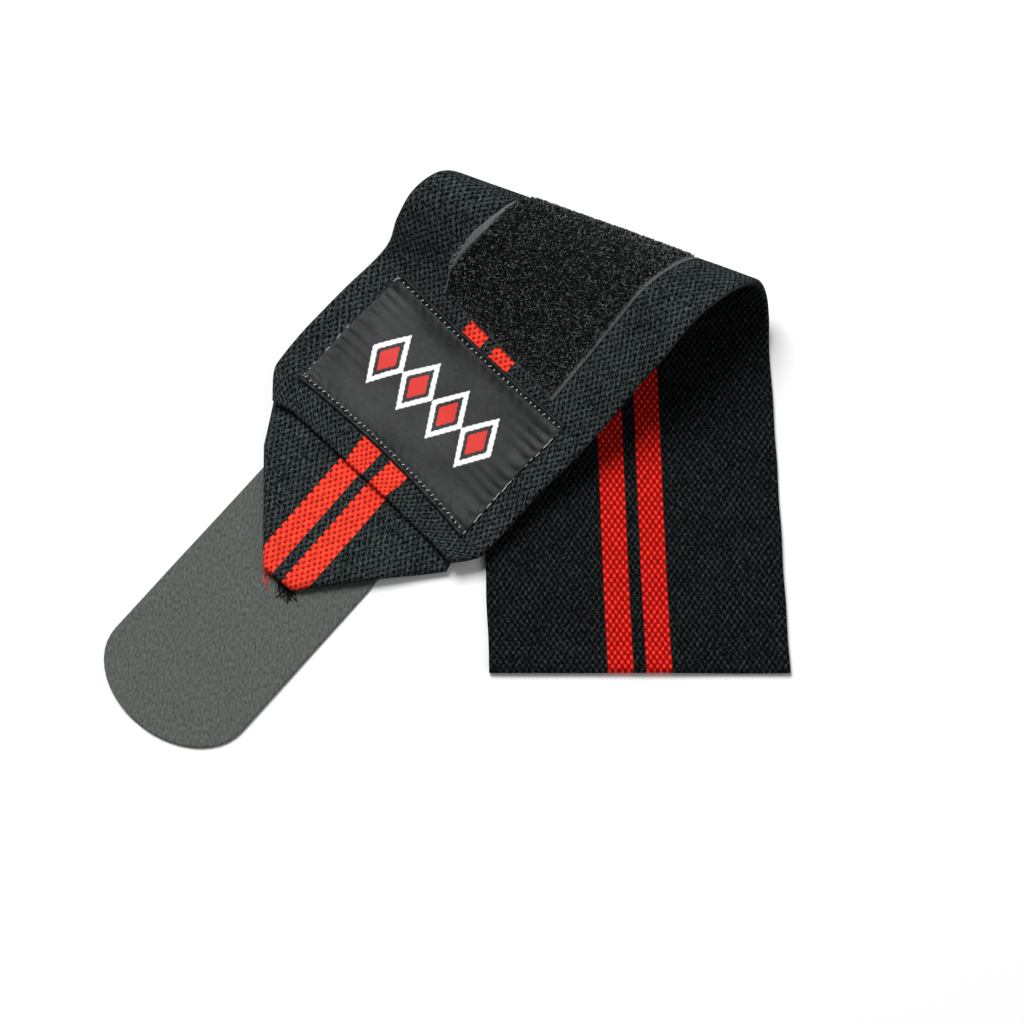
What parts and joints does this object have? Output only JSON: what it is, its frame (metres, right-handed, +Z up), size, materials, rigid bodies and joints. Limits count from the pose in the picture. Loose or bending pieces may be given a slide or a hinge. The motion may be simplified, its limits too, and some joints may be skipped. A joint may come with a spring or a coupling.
{
  "type": "wrist wrap",
  "caption": "Elastic wrist support wrap lying folded on a table, with a pointed end, a hook tape tab, a loop pile patch and a sewn label across the band.",
  "frame": {"origin": "on the table, under the middle of the footprint", "axes": "+Z up from the table, +X to the right and +Y away from the viewer of the picture"},
  "size_m": [0.1826, 0.1563, 0.0358],
  "materials": {
    "elastic": "knitted elastic with red stripes",
    "hook_tape": "woven tape",
    "loop_pile": "brushed pile",
    "satin": "satin weave"
  },
  "bodies": {
    "root": {"elastic_band": "elastic", "pointed_end": "elastic", "hook_tab": "hook_tape", "loop_patch": "loop_pile", "label": "satin"}
  },
  "joints": []
}
